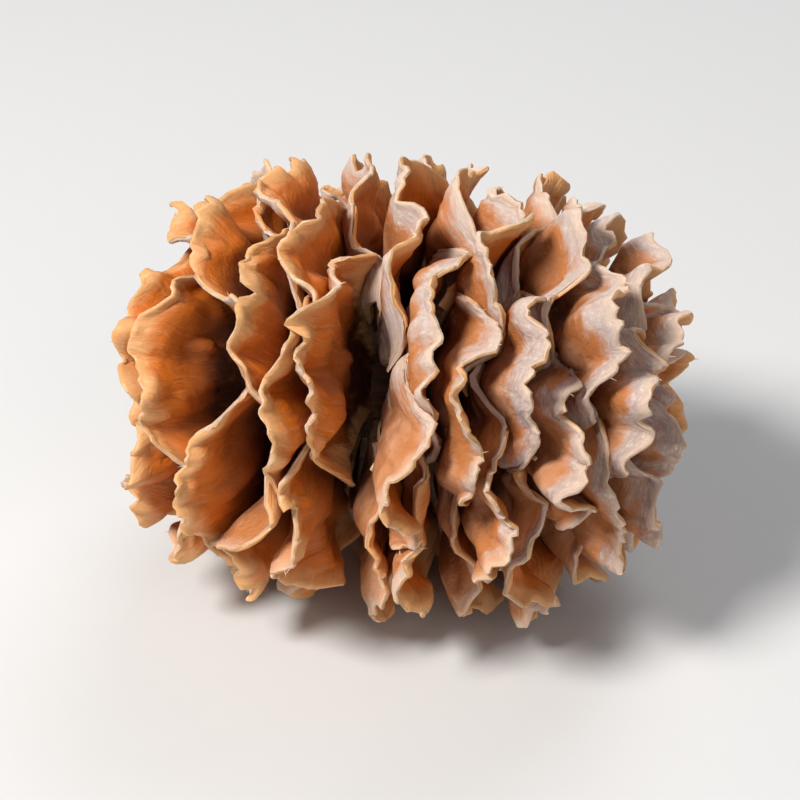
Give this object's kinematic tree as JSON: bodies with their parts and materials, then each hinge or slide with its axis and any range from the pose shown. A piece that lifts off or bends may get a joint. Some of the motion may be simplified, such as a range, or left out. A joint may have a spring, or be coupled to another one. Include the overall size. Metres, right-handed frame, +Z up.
{
  "type": "larch cone",
  "caption": "Dry, open larch cone lying on its side, with thin ruffled woody scales set in a spiral round a woody axis and a broken stub of stalk in a pit at one end.",
  "frame": {"origin": "under the middle of the cone's bounding box, on the surface that its lowest margins rest on", "axes": "+X along the cone's axis from the stalk end to the tip, +Z up"},
  "size_m": [0.0304, 0.0262, 0.0247],
  "materials": {
    "scale_wood": "dry matte wood, orange-brown inside the scales and weathered greyish-tan outside, with pale margins"
  },
  "bodies": {
    "root": {"larch_cone": "scale_wood"}
  },
  "joints": []
}
